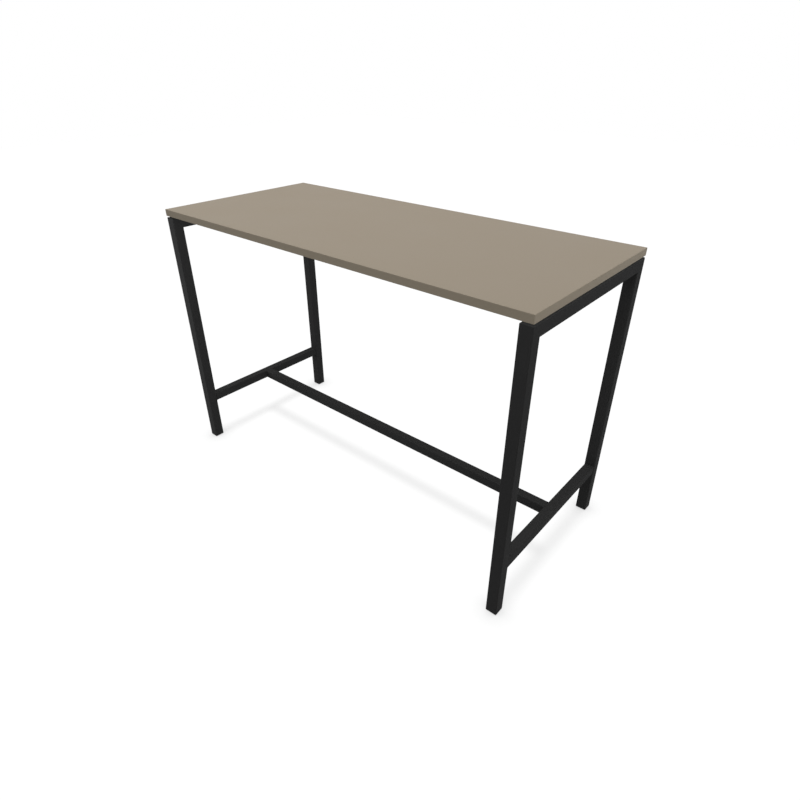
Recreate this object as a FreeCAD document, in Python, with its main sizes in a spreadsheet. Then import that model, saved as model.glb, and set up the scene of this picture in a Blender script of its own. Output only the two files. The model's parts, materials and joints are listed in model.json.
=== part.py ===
import FreeCAD, Part

# Standing meeting table: a laminated board top with glued edge bands, carried by two welded end
# frames of square steel tube, two rails under the top, a footrest rail and four levelling feet.
# Millimetres. +X runs along the table, +Y from its front to its back and +Z up. The origin is on
# the floor, under the middle of the top.

import math
import os

import Sketcher
from FreeCAD import Placement, Rotation, Vector

document = FreeCAD.newDocument("StandingMeetingTable")


# ---- driving dimensions ----

dimensions = (
    # the top
    ("table_length", 1600),
    ("table_depth", 700),
    ("table_height", 1050),
    ("top_thickness", 25),
    ("band_thickness", 2),
    ("band_edge_radius", 1.2),
    # the shadow gap between the top and the frame, held open by spacers
    ("spacer_height", 6),
    ("spacer_diameter", 30),
    # legs and upper bars of the end frames; the frame stands back from the top's long edges
    ("side_inset", 1),
    ("leg_side", 40),
    ("leg_wall", 2),
    ("leg_corner", 3),
    ("tube_inner_corner", 1),
    # lower bars of the end frames, and the footrest rail between them
    ("bar_side", 35),
    ("bar_wall", 2),
    ("bar_corner", 2),
    ("bar_height", 185),
    # rails under the top, a distance in from its long edges, and the plates on their ends
    ("rail_edge_distance", 130),
    ("rail_width", 20),
    ("rail_wall", 2),
    ("rail_corner", 2),
    ("plate_thickness", 4),
    ("plate_ear", 20),
    ("plate_corner", 3),
    # spigots on the lower bars, which the footrest rail slips over
    ("spigot_length", 60),
    ("spigot_wall", 4),
    ("spigot_corner", 1),
    ("slip_clearance", 0.1),
    ("lock_screw_inset", 15),
    ("lock_screw_spacing", 25),
    ("lock_screw_length", 10),
    # M6 screws with a button head and a hexagon socket
    ("screw_diameter", 6),
    ("screw_head_diameter", 11),
    ("screw_head_height", 3.3),
    ("screw_socket", 4),
    ("screw_socket_depth", 2),
    ("screw_hole_clearance", 0.3),
    ("thread_clearance", 0.05),
    ("top_screw_engagement", 12),
    ("plate_bolt_length", 16),
    # threaded inserts in the board, and blind rivet nuts in the upper bars
    ("insert_diameter", 10),
    ("insert_length", 15),
    ("insert_hole_end", 1),
    ("rivet_nut_diameter", 9),
    ("rivet_nut_length", 14),
    ("rivet_nut_bulb", 3),
    ("rivet_nut_bulb_lip", 1.5),
    # levelling feet: the gap under the leg, a ribbed plug with a captive nut, then the foot
    ("foot_gap", 3),
    ("rim_thickness", 1.5),
    ("plug_length", 27),
    ("plug_corner", 1),
    ("fin_depth", 2.5),
    ("fin_thickness", 1.5),
    ("fin_spacing", 6),
    ("recess_wall", 2),
    ("recess_depth", 5),
    ("nut_width", 13),
    ("nut_thickness", 6.5),
    ("stud_diameter", 8),
    ("stud_reach", 20),
    ("stud_seat", 3),
    ("stud_chamfer", 1),
    ("stud_bore_clearance", 0.5),
    ("head_clearance", 0.5),
    ("grip_notch_radius", 1),
    ("sole_thickness", 2),
    ("sole_inset", 1),
    ("sole_chamfer", 0.5),
    ("pivot_diameter", 6),
    ("pivot_height", 2),
    ("pivot_end_clearance", 0.2),
)

# The top's screws stand in four columns along the table, one on each upper bar and two on the
# rails. The levelling foot's head has a ring of finger notches, and its plug four fins.
screw_columns = 4
screw_rows = 2
grip_notches = 12
plug_fins = 4

sheet = document.addObject("Spreadsheet::Sheet", "Sizes")
for row, (alias, number) in enumerate(dimensions, start=1):
    sheet.set(f"A{row}", alias.replace("_", " "))
    sheet.set(f"B{row}", str(number))
    sheet.setAlias(f"B{row}", alias)
document.recompute()


# ---- places that several pieces share, as expressions on the sheet ----

top_underside = "(Sizes.table_height - Sizes.top_thickness)"
frame_top = f"({top_underside} - Sizes.spacer_height)"
frame_depth = "(Sizes.table_depth - 2 * Sizes.side_inset)"
leg_x = "(Sizes.table_length / 2 - Sizes.leg_side / 2)"
leg_y = f"({frame_depth} / 2 - Sizes.leg_side / 2)"
leg_bottom = "(Sizes.foot_gap + Sizes.rim_thickness)"
leg_length = f"({frame_top} - {leg_bottom})"
leg_bore = "(Sizes.leg_side - 2 * Sizes.leg_wall)"
upper_bar_z = f"({frame_top} - Sizes.leg_side / 2)"
upper_bar_face = f"({leg_x} - Sizes.leg_side / 2)"
lower_bar_z = "(Sizes.bar_height + Sizes.bar_side / 2)"
lower_bar_face = f"({leg_x} - Sizes.bar_side / 2)"
rail_reach = f"({upper_bar_face} - Sizes.plate_thickness)"
rail_y = "(Sizes.table_depth / 2 - Sizes.rail_edge_distance)"
ear_middle = "(Sizes.rail_width / 2 + Sizes.plate_ear / 2)"
first_plate_bolt = f"({rail_y} + {ear_middle})"
spigot_side = "(Sizes.bar_side - 2 * Sizes.bar_wall - 2 * Sizes.slip_clearance)"
screw_hole = "(Sizes.screw_diameter / 2 + Sizes.screw_hole_clearance)"
screw_thread = "(Sizes.screw_diameter / 2 + Sizes.thread_clearance)"
plug_side = f"({leg_bore} - 2 * Sizes.fin_depth)"
recess_radius = f"({plug_side} / 2 - Sizes.recess_wall)"
head_radius = f"({recess_radius} - Sizes.head_clearance)"
head_height = "(Sizes.foot_gap + Sizes.recess_depth - Sizes.sole_thickness)"


# ---- sketches and features; their sizes are expressions on the sheet ----

def value(expression):
    return float(sheet.evalExpression(expression)) if expression else 0.0


def origin_feature(body, role):
    return next(feature for feature in body.Origin.OriginFeatures if feature.Role == role)


def new_sketch(body, name, plane="XY_Plane", offset=None):
    """A sketch on one of the body's own planes, or a distance away along the plane's normal."""
    sketch = body.newObject("Sketcher::SketchObject", name)
    sketch.AttachmentSupport = [(origin_feature(body, plane), "")]
    sketch.MapMode = "FlatFace"
    if offset:
        sketch.setExpression("AttachmentOffset.Base.z", offset)
    return sketch


def constrain(sketch, kind, *elements, size=None):
    if size is None:
        sketch.addConstraint(Sketcher.Constraint(kind, *elements))
        return
    index = sketch.addConstraint(Sketcher.Constraint(kind, *elements, value(size)))
    sketch.setExpression(f"Constraints[{index}]", size)


def fix_point(sketch, element, vertex, x, y):
    """Hold a point at its distances from the sketch's origin; None puts it on that axis."""
    for kind, axis, distance in (("DistanceX", -2, x), ("DistanceY", -1, y)):
        if distance is None:
            constrain(sketch, "PointOnObject", element, vertex, axis)
        else:
            constrain(sketch, kind, -1, 1, element, vertex, size=distance)


def circle(sketch, radius, x=None, y=None):
    centre = Vector(value(x), value(y), 0)
    element = sketch.addGeometry(Part.Circle(centre, Vector(0, 0, 1), value(radius)))
    fix_point(sketch, element, 3, x, y)
    constrain(sketch, "Radius", element, size=radius)


def arc(sketch, centre, radius, start, end):
    """An arc between two angles, given in quarter turns."""
    whole = Part.Circle(centre, Vector(0, 0, 1), radius)
    quarter = math.pi / 2
    return sketch.addGeometry(Part.ArcOfCircle(whole, start * quarter, end * quarter))


def outline(sketch, points):
    """A closed outline of straight lines through the points."""
    corners = [Vector(value(x), value(y), 0) for x, y in points]
    lines = []
    for start, end in zip(corners, corners[1:] + corners[:1]):
        lines.append(sketch.addGeometry(Part.LineSegment(start, end)))
    for line, following in zip(lines, lines[1:] + lines[:1]):
        constrain(sketch, "Coincident", line, 2, following, 1)
    for line, (x, y) in zip(lines, points):
        fix_point(sketch, line, 1, x, y)


def rectangle(sketch, half_width, half_height):
    """A rectangle about the sketch's origin."""
    outline(sketch, ((half_width, half_height), (f"-{half_width}", half_height),
                     (f"-{half_width}", f"-{half_height}"), (half_width, f"-{half_height}")))


def rounded_rectangle(sketch, width, height, radius):
    """A rectangle about the sketch's origin whose corners are arcs of one radius."""
    round_off = value(radius)
    inner_x = value(width) / 2 - round_off
    inner_y = value(height) / 2 - round_off
    corners = []
    for turn, (side_x, side_y) in enumerate(((1, 1), (-1, 1), (-1, -1), (1, -1))):
        centre = Vector(side_x * inner_x, side_y * inner_y, 0)
        corners.append(arc(sketch, centre, round_off, turn, turn + 1))
    lines = []
    for corner, following in zip(corners, corners[1:] + corners[:1]):
        start = sketch.Geometry[corner].EndPoint
        end = sketch.Geometry[following].StartPoint
        line = sketch.addGeometry(Part.LineSegment(start, end))
        constrain(sketch, "Tangent", corner, 2, line, 1)
        constrain(sketch, "Tangent", line, 2, following, 1)
        lines.append(line)
    for line, kind in zip(lines, ("Horizontal", "Vertical", "Horizontal", "Vertical")):
        constrain(sketch, kind, line)
    for corner in corners[1:]:
        constrain(sketch, "Equal", corners[0], corner)
    constrain(sketch, "Radius", corners[0], size=radius)
    constrain(sketch, "DistanceY", -1, 1, lines[0], 1, size=f"{height} / 2")
    constrain(sketch, "DistanceX", -1, 1, lines[1], 1, size=f"-{width} / 2")
    constrain(sketch, "DistanceY", -1, 1, lines[2], 1, size=f"-{height} / 2")
    constrain(sketch, "DistanceX", -1, 1, lines[3], 1, size=f"{width} / 2")


def hexagon(sketch, width):
    """A regular hexagon about the sketch's origin, two of its flats square to the first axis."""
    flat = f"{width} / 2"
    low = f"{width} / (2 * sqrt(3))"
    high = f"{width} / sqrt(3)"
    outline(sketch, ((flat, low), (None, high), (f"-{flat}", low),
                     (f"-{flat}", f"-{low}"), (None, f"-{high}"), (flat, f"-{low}")))


def pad(body, sketch, length, both_ways=False, against_normal=False):
    feature = body.newObject("PartDesign::Pad", "Pad")
    feature.Profile = sketch
    feature.Midplane = both_ways
    feature.Reversed = against_normal
    feature.setExpression("Length", length)
    document.recompute()
    return feature


def pocket(body, sketch, depth=None, both_ways=False, along_normal=False):
    """Cut a sketch out of the body, to a depth or through all that lies on that side."""
    volume_before = body.Shape.Volume
    feature = body.newObject("PartDesign::Pocket", "Pocket")
    feature.Profile = sketch
    feature.Midplane = both_ways
    feature.Reversed = along_normal
    if depth:
        feature.setExpression("Length", depth)
    else:
        feature.Type = "ThroughAll"
    document.recompute()
    if body.Shape.Volume >= volume_before:
        raise RuntimeError(f"{body.Label}: {feature.Name} removes nothing")
    return feature


def repeat_grid(body, features, rows):
    """Copies in one or more rows, each given as an axis, its whole length and its number."""
    grid = body.newObject("PartDesign::MultiTransform", "Grid")
    grid.Originals = features
    steps = []
    for axis, length, count in rows:
        step = body.newObject("PartDesign::LinearPattern", "LinearPattern")
        step.Direction = (origin_feature(body, axis), [""])
        step.setExpression("Length", length)
        step.Occurrences = count
        steps.append(step)
    grid.Transformations = steps
    body.Tip = grid
    document.recompute()
    return grid


def edges_where(feature, test):
    """Names of the feature's edges whose middle point and direction there pass a test."""
    names = []
    for index, edge in enumerate(feature.Shape.Edges, start=1):
        along = (edge.FirstParameter + edge.LastParameter) / 2
        if test(edge.valueAt(along), edge.tangentAt(along)):
            names.append(f"Edge{index}")
    return names


def dress_edges(body, kind, feature, test, size):
    """A fillet or a chamfer of one size on the edges that pass a test."""
    dressing = body.newObject(f"PartDesign::{kind}", kind)
    dressing.Base = (feature, edges_where(feature, test))
    dressing.setExpression("Radius" if kind == "Fillet" else "Size", size)
    document.recompute()
    return dressing


def new_body(label):
    return document.addObject("PartDesign::Body", label)


def place(body, x=None, y=None, z=None, yaw=0):
    """Stand a body at its place on the table, turned about the vertical by yaw degrees."""
    body.Placement = Placement(Vector(0, 0, 0), Rotation(Vector(0, 0, 1), yaw))
    for letter, distance in (("x", x), ("y", y), ("z", z)):
        if distance:
            body.setExpression(f"Placement.Base.{letter}", distance)


# ---- the top: a board, its edge bands, and what fastens it ----

def repeat_at_top_screws(body, features):
    """Repeat what belongs to the screw at the front left at every screw of the top."""
    repeat_grid(body, features, (("X_Axis", f"2 * {leg_x}", screw_columns),
                                 ("Y_Axis", f"2 * {rail_y}", screw_rows)))


def make_board():
    """The board between its edge bands, with a blind hole for each threaded insert."""
    body = new_body("tabletop_board")
    panel = new_sketch(body, "Panel")
    rectangle(panel, "(Sizes.table_length / 2 - Sizes.band_thickness)",
              "(Sizes.table_depth / 2 - Sizes.band_thickness)")
    pad(body, panel, "Sizes.top_thickness")
    hole = new_sketch(body, "InsertHole")
    circle(hole, "Sizes.insert_diameter / 2 + Sizes.thread_clearance",
           f"-{leg_x}", f"-{rail_y}")
    depth = "Sizes.insert_length + Sizes.insert_hole_end"
    repeat_at_top_screws(body, [pocket(body, hole, depth, along_normal=True)])
    place(body, z=top_underside)


def make_long_band(label, side, yaw):
    """A band on a long edge. It covers the ends of the short bands, so its ends are round."""
    body = new_body(label)
    reach = "Sizes.table_length / 2"
    thickness = "Sizes.band_thickness"
    section = new_sketch(body, "Section")
    end_x = value(reach)
    round_off = value(thickness)
    back = section.addGeometry(Part.LineSegment(Vector(end_x, 0, 0), Vector(-end_x, 0, 0)))
    left = arc(section, Vector(round_off - end_x, 0, 0), round_off, 2, 3)
    front = section.addGeometry(Part.LineSegment(section.Geometry[left].EndPoint,
                                                 Vector(end_x - round_off, -round_off, 0)))
    right = arc(section, Vector(end_x - round_off, 0, 0), round_off, 3, 4)
    constrain(section, "Coincident", back, 2, left, 1)
    constrain(section, "Tangent", left, 2, front, 1)
    constrain(section, "Tangent", front, 2, right, 1)
    constrain(section, "Coincident", right, 2, back, 1)
    fix_point(section, back, 1, reach, None)
    fix_point(section, back, 2, f"-{reach}", None)
    for end in (left, right):
        constrain(section, "PointOnObject", end, 3, back)
        constrain(section, "Radius", end, size=thickness)
    strip = pad(body, section, "Sizes.top_thickness")
    dress_edges(body, "Fillet", strip,
                lambda point, along: abs(along.z) < 0.5 and point.y < -round_off / 4,
                f"min(Sizes.band_edge_radius; 0.8 * {thickness})")
    place(body, y=f"{side} * (Sizes.table_depth / 2 - {thickness})", z=top_underside, yaw=yaw)


def make_short_band(label, side, yaw):
    """A band on a short edge, between the two long bands."""
    body = new_body(label)
    thickness = "Sizes.band_thickness"
    half_length = f"(Sizes.table_depth / 2 - {thickness})"
    section = new_sketch(body, "Section")
    outline(section, ((None, half_length), (f"-{thickness}", half_length),
                      (f"-{thickness}", f"-{half_length}"), (None, f"-{half_length}")))
    strip = pad(body, section, "Sizes.top_thickness")
    outer = value(thickness) / 2
    dress_edges(body, "Fillet", strip,
                lambda point, along: abs(along.y) > 0.5 and point.x < -outer,
                f"min(Sizes.band_edge_radius; 0.8 * {thickness})")
    place(body, x=f"{side} * (Sizes.table_length / 2 - {thickness})", z=top_underside, yaw=yaw)


def make_top_spacers():
    """Washers between the frame and the top, one around each screw."""
    body = new_body("top_spacers")
    ring = new_sketch(body, "Ring")
    circle(ring, "Sizes.spacer_diameter / 2")
    circle(ring, screw_hole)
    repeat_at_top_screws(body, [pad(body, ring, "Sizes.spacer_height")])
    place(body, f"-{leg_x}", f"-{rail_y}", frame_top)


def make_top_inserts():
    body = new_body("top_inserts")
    ring = new_sketch(body, "Ring")
    circle(ring, "Sizes.insert_diameter / 2")
    circle(ring, screw_thread)
    repeat_at_top_screws(body, [pad(body, ring, "Sizes.insert_length")])
    place(body, f"-{leg_x}", f"-{rail_y}", top_underside)


def screw_features(body, length, plane="XY_Plane"):
    """A button-head screw whose head lies against the plane, with its shank along the normal."""
    shank = new_sketch(body, "Shank", plane)
    circle(shank, "Sizes.screw_diameter / 2")
    shank_pad = pad(body, shank, length)
    head = new_sketch(body, "Head", plane)
    circle(head, "Sizes.screw_head_diameter / 2")
    head_pad = pad(body, head, "Sizes.screw_head_height", against_normal=True)
    socket = new_sketch(body, "Socket", plane, "-Sizes.screw_head_height")
    hexagon(socket, "Sizes.screw_socket")
    socket_pocket = pocket(body, socket, "Sizes.screw_socket_depth", along_normal=True)
    return [shank_pad, head_pad, socket_pocket]


def make_top_screws():
    """Screws from under the bars and rails, through a spacer and into an insert."""
    body = new_body("top_screws")
    length = "Sizes.leg_side + Sizes.spacer_height + Sizes.top_screw_engagement"
    repeat_at_top_screws(body, screw_features(body, length))
    place(body, f"-{leg_x}", f"-{rail_y}", f"({frame_top} - Sizes.leg_side)")


# ---- square tubes ----

def make_tube(label, width, height, wall, corner, length, plane):
    """A hollow section padded both ways from a plane of its body. Returns the body."""
    body = new_body(label)
    section = new_sketch(body, "Section", plane)
    rounded_rectangle(section, width, height, corner)
    rounded_rectangle(section, f"({width} - 2 * {wall})", f"({height} - 2 * {wall})",
                      "Sizes.tube_inner_corner")
    pad(body, section, length, both_ways=True)
    return body


def make_leg(label, x, y, yaw):
    """A leg whose top is mitred at 45 degrees. Its outer side faces -Y before it is turned."""
    side = "Sizes.leg_side"
    body = make_tube(label, side, side, "Sizes.leg_wall", "Sizes.leg_corner", leg_length,
                     "XY_Plane")
    # The waste is a triangle that runs past the tube by one of its sides.
    mitre = new_sketch(body, "Mitre", "YZ_Plane")
    top = f"{leg_length} / 2"
    outline(mitre, ((f"-1.5 * {side}", f"{top} + {side}"), (f"1.5 * {side}", f"{top} - 2 * {side}"),
                    (f"1.5 * {side}", f"{top} + {side}")))
    pocket(body, mitre, both_ways=True)
    place(body, x, y, f"({leg_bottom} + {leg_length} / 2)", yaw)


def make_upper_bar(label, x, yaw):
    """A bar mitred to both legs, drilled for the top's screws and for the rails' rivet nuts."""
    side = "Sizes.leg_side"
    body = make_tube(label, side, side, "Sizes.leg_wall", "Sizes.leg_corner", frame_depth,
                     "XZ_Plane")
    # Each mitre's waste is a triangle that runs past the tube by one of its sides.
    for name, end in (("FrontMitre", "-"), ("RearMitre", "")):
        mitre = new_sketch(body, name, "YZ_Plane")
        far = f"{end}({frame_depth} / 2 + {side})"
        near = f"{end}({frame_depth} / 2 - 2 * {side})"
        outline(mitre, ((far, f"1.5 * {side}"), (far, f"-1.5 * {side}"),
                        (near, f"-1.5 * {side}")))
        pocket(body, mitre, both_ways=True)
    screw_holes = new_sketch(body, "ScrewHoles")
    for sign in ("-", ""):
        circle(screw_holes, screw_hole, None, f"{sign}{rail_y}")
    pocket(body, screw_holes, both_ways=True)
    nut_holes = new_sketch(body, "RivetNutHoles", "YZ_Plane")
    for sign in ("-", ""):
        for ear in ("-", "+"):
            circle(nut_holes, "Sizes.rivet_nut_diameter / 2 + Sizes.thread_clearance",
                   f"{sign}({rail_y} {ear} {ear_middle})", None)
    pocket(body, nut_holes, along_normal=True)
    place(body, x, None, upper_bar_z, yaw)


def make_lower_bar(label, x):
    body = make_tube(label, "Sizes.bar_side", "Sizes.bar_side", "Sizes.bar_wall",
                     "Sizes.bar_corner", f"({frame_depth} - 2 * Sizes.leg_side)", "XZ_Plane")
    place(body, x, None, lower_bar_z)


def make_top_rail(label, y):
    """A rail under the top, as deep as the upper bars and drilled for two of the top's screws."""
    body = make_tube(label, "Sizes.rail_width", "Sizes.leg_side", "Sizes.rail_wall",
                     "Sizes.rail_corner", f"(2 * {rail_reach})", "YZ_Plane")
    screw_holes = new_sketch(body, "ScrewHoles")
    for sign in ("-", ""):
        circle(screw_holes, screw_hole, f"{sign}{leg_x} / {screw_columns - 1}", None)
    pocket(body, screw_holes, both_ways=True)
    place(body, None, y, upper_bar_z)


def make_footrest_rail():
    """The footrest, which slips over the spigots and is locked from below by two screws each."""
    body = make_tube("footrest_rail", "Sizes.bar_side", "Sizes.bar_side", "Sizes.bar_wall",
                     "Sizes.bar_corner", f"(2 * {lower_bar_face})", "YZ_Plane")
    screw_holes = new_sketch(body, "ScrewHoles")
    first = f"({lower_bar_face} - Sizes.lock_screw_inset)"
    for sign in ("-", ""):
        circle(screw_holes, screw_hole, f"{sign}{first}", None)
        circle(screw_holes, screw_hole, f"{sign}({first} - Sizes.lock_screw_spacing)", None)
    pocket(body, screw_holes)
    place(body, z=lower_bar_z)


# ---- what joins the tubes ----

def make_rail_plate(label, x, y, yaw):
    """A plate welded to the end of a rail, with a bolt hole in the ear on either side."""
    body = new_body(label)
    section = new_sketch(body, "Plate", "YZ_Plane")
    rounded_rectangle(section, "(Sizes.rail_width + 2 * Sizes.plate_ear)",
                      "(Sizes.leg_side - 2 * Sizes.leg_corner)", "Sizes.plate_corner")
    circle(section, screw_hole, f"-{ear_middle}", None)
    circle(section, screw_hole, ear_middle, None)
    pad(body, section, "Sizes.plate_thickness")
    place(body, x, y, upper_bar_z, yaw)


def repeat_at_plate_bolts(body, features):
    """Repeat what belongs to the first bolt of an end at all of them: two rails, two ears."""
    repeat_grid(body, features, (("Y_Axis", f"2 * {ear_middle}", 2),
                                 ("Y_Axis", f"2 * {rail_y}", 2)))


def make_plate_bolts(label, x, y, yaw):
    """Bolts through the ears of the rail plates into the rivet nuts."""
    body = new_body(label)
    repeat_at_plate_bolts(body, screw_features(body, "Sizes.plate_bolt_length", "YZ_Plane"))
    place(body, x, y, upper_bar_z, yaw)


def make_rivet_nuts(label, x, y, yaw):
    """Nuts set in the inner wall of an upper bar, with the bulb that holds them behind it."""
    body = new_body(label)
    barrel = new_sketch(body, "Barrel", "YZ_Plane")
    circle(barrel, "Sizes.rivet_nut_diameter / 2")
    circle(barrel, screw_thread)
    barrel_pad = pad(body, barrel, "Sizes.rivet_nut_length")
    bulb = new_sketch(body, "Bulb", "YZ_Plane", "Sizes.leg_wall")
    circle(bulb, "Sizes.rivet_nut_diameter / 2 + Sizes.rivet_nut_bulb_lip")
    circle(bulb, screw_thread)
    bulb_pad = pad(body, bulb, "Sizes.rivet_nut_bulb")
    repeat_at_plate_bolts(body, [barrel_pad, bulb_pad])
    place(body, x, y, upper_bar_z, yaw)


def make_spigot(label, x, yaw):
    """A short thick-walled tube welded to a lower bar, tapped from below for the lock screws."""
    body = new_body(label)
    section = new_sketch(body, "Section", "YZ_Plane")
    rounded_rectangle(section, spigot_side, spigot_side, "Sizes.spigot_corner")
    half_bore = f"({spigot_side} / 2 - Sizes.spigot_wall)"
    rectangle(section, half_bore, half_bore)
    pad(body, section, "Sizes.spigot_length")
    taps = new_sketch(body, "TappedHoles")
    circle(taps, screw_thread, "Sizes.lock_screw_inset", None)
    circle(taps, screw_thread, "(Sizes.lock_screw_inset + Sizes.lock_screw_spacing)", None)
    pocket(body, taps)
    place(body, x, None, lower_bar_z, yaw)


def make_lock_screws(label, x, yaw):
    """Screws that fix one end of the footrest rail to its spigot, from below."""
    body = new_body(label)
    repeat_grid(body, screw_features(body, "Sizes.lock_screw_length"),
                (("X_Axis", "Sizes.lock_screw_spacing", 2),))
    place(body, x, None, "Sizes.bar_height", yaw)


# ---- levelling feet ----

def make_leg_plug(label, x, y):
    """A ribbed plug in the leg's end. Its rim bears on the tube and its fins grip the bore. The
    foot draws up into the recess, and the nut sits in the hexagonal pocket above it."""
    body = new_body(label)
    rim = new_sketch(body, "Rim")
    rounded_rectangle(rim, "Sizes.leg_side", "Sizes.leg_side", "Sizes.leg_corner")
    pad(body, rim, "Sizes.rim_thickness")
    core = new_sketch(body, "Core")
    rounded_rectangle(core, plug_side, plug_side, "Sizes.plug_corner")
    pad(body, core, "Sizes.plug_length")
    first_fin = "Sizes.rim_thickness + Sizes.fin_spacing - Sizes.fin_thickness"
    fin = new_sketch(body, "Fin", offset=first_fin)
    rounded_rectangle(fin, leg_bore, leg_bore, "Sizes.tube_inner_corner")
    fins = [pad(body, fin, "Sizes.fin_thickness")]
    repeat_grid(body, fins, (("Z_Axis", f"{plug_fins - 1} * Sizes.fin_spacing", plug_fins),))
    recess = new_sketch(body, "Recess")
    circle(recess, recess_radius)
    pocket(body, recess, "Sizes.recess_depth", along_normal=True)
    nut_pocket = new_sketch(body, "NutPocket", offset="Sizes.recess_depth")
    hexagon(nut_pocket, "Sizes.nut_width")
    pocket(body, nut_pocket, "Sizes.nut_thickness", along_normal=True)
    bore = new_sketch(body, "StudBore")
    circle(bore, "Sizes.stud_diameter / 2 + Sizes.stud_bore_clearance")
    pocket(body, bore, along_normal=True)
    place(body, x, y, "Sizes.foot_gap")


def make_plug_nut(label, x, y):
    body = new_body(label)
    section = new_sketch(body, "Section")
    hexagon(section, "Sizes.nut_width")
    circle(section, "Sizes.stud_diameter / 2 + Sizes.thread_clearance")
    pad(body, section, "Sizes.nut_thickness")
    place(body, x, y, "(Sizes.foot_gap + Sizes.recess_depth)")


def make_foot_stud(label, x, y):
    """The steel stud of a levelling foot, moulded into the head and screwed through the nut."""
    body = new_body(label)
    section = new_sketch(body, "Section")
    circle(section, "Sizes.stud_diameter / 2")
    length = "Sizes.stud_seat + Sizes.stud_reach"
    rod = pad(body, section, length)
    tip = value(length) - value("Sizes.stud_chamfer") / 2
    dress_edges(body, "Chamfer", rod,
                lambda point, along: abs(along.z) < 0.5 and point.z > tip, "Sizes.stud_chamfer")
    place(body, x, y, f"(Sizes.sole_thickness + {head_height} - Sizes.stud_seat)")


def make_foot_head(label, x, y):
    """The moulded head that is turned by hand, with a ring of notches round its edge."""
    body = new_body(label)
    disc = new_sketch(body, "Disc")
    circle(disc, head_radius)
    pad(body, disc, head_height)
    notch = new_sketch(body, "GripNotch")
    circle(notch, "Sizes.grip_notch_radius", head_radius, None)
    first_notch = pocket(body, notch, along_normal=True)
    notches = body.newObject("PartDesign::PolarPattern", "GripNotches")
    notches.Originals = [first_notch]
    notches.Axis = (origin_feature(body, "Z_Axis"), [""])
    notches.Angle = 360
    notches.Occurrences = grip_notches
    body.Tip = notches
    document.recompute()
    seat = new_sketch(body, "StudSeat", offset=head_height)
    circle(seat, "Sizes.stud_diameter / 2")
    pocket(body, seat, "Sizes.stud_seat")
    pivot = new_sketch(body, "PivotHole")
    circle(pivot, "Sizes.pivot_diameter / 2 + Sizes.thread_clearance")
    pocket(body, pivot, "Sizes.pivot_height + Sizes.pivot_end_clearance", along_normal=True)
    place(body, x, y, "Sizes.sole_thickness")


def make_foot_sole(label, x, y):
    """The disc that stays still on the floor while the head turns on its pivot."""
    body = new_body(label)
    disc = new_sketch(body, "Disc")
    circle(disc, f"({head_radius} - Sizes.sole_inset)")
    pad(body, disc, "Sizes.sole_thickness")
    pivot = new_sketch(body, "Pivot", offset="Sizes.sole_thickness")
    circle(pivot, "Sizes.pivot_diameter / 2")
    whole = pad(body, pivot, "Sizes.pivot_height")
    low = value("Sizes.sole_thickness") / 4
    dress_edges(body, "Chamfer", whole, lambda point, along: point.z < low, "Sizes.sole_chamfer")
    place(body, x, y)


# ---- the table ----

make_board()
make_long_band("front_edge_band", "-1", yaw=0)
make_long_band("rear_edge_band", "1", yaw=180)
make_short_band("left_edge_band", "-1", yaw=0)
make_short_band("right_edge_band", "1", yaw=180)
make_top_spacers()
make_top_inserts()
make_top_screws()

# Each end is modelled as the left one; the right one is the same end turned by half a turn.
for end, side, opposite, turn in (("left", "-", "", 0), ("right", "", "-", 180)):
    make_upper_bar(f"{end}_upper_bar", f"{side}{leg_x}", turn)
    make_lower_bar(f"{end}_lower_bar", f"{side}{leg_x}")
    make_spigot(f"{end}_spigot", f"{side}{lower_bar_face}", turn)
    make_lock_screws(f"{end}_lock_screws",
                     f"{side}({lower_bar_face} - Sizes.lock_screw_inset)", turn)
    first_bolt_y = f"{opposite}{first_plate_bolt}"
    make_plate_bolts(f"{end}_plate_bolts", f"{side}{rail_reach}", first_bolt_y, 180 - turn)
    make_rivet_nuts(f"{end}_rivet_nuts", f"{side}{upper_bar_face}", first_bolt_y, 180 - turn)
    for row, row_side, outward in (("front", "-", 0), ("rear", "", 180)):
        corner_x = f"{side}{leg_x}"
        corner_y = f"{row_side}{leg_y}"
        make_leg(f"{end}_{row}_leg", corner_x, corner_y, outward)
        make_leg_plug(f"{end}_{row}_leg_plug", corner_x, corner_y)
        make_plug_nut(f"{end}_{row}_plug_nut", corner_x, corner_y)
        make_foot_stud(f"{end}_{row}_foot_stud", corner_x, corner_y)
        make_foot_head(f"{end}_{row}_foot_head", corner_x, corner_y)
        make_foot_sole(f"{end}_{row}_foot_sole", corner_x, corner_y)
        make_rail_plate(f"{row}_rail_{end}_plate", f"{side}{upper_bar_face}",
                        f"{row_side}{rail_y}", turn)

make_top_rail("front_top_rail", f"-{rail_y}")
make_top_rail("rear_top_rail", rail_y)
make_footrest_rail()


# ---- checks and export ----

document.recompute()
failed = [thing.Label for thing in document.Objects if {"Invalid", "Error"} & set(thing.State)]
if failed:
    raise RuntimeError("did not recompute: " + ", ".join(failed))

bodies = [thing for thing in document.Objects if thing.TypeId == "PartDesign::Body"]
for body in bodies:
    if body.Shape.isNull() or not body.Shape.isValid():
        raise RuntimeError(f"{body.Label} has no valid shape")

os.makedirs("parts", exist_ok=True)
for body in bodies:
    body.Shape.exportStep(f"parts/{body.Label}.step")
    print(f"{body.Label}: {len(body.Shape.Solids)} solids, {body.Shape.Volume / 1000:.1f} cm3")
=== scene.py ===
import json
import math

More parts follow.
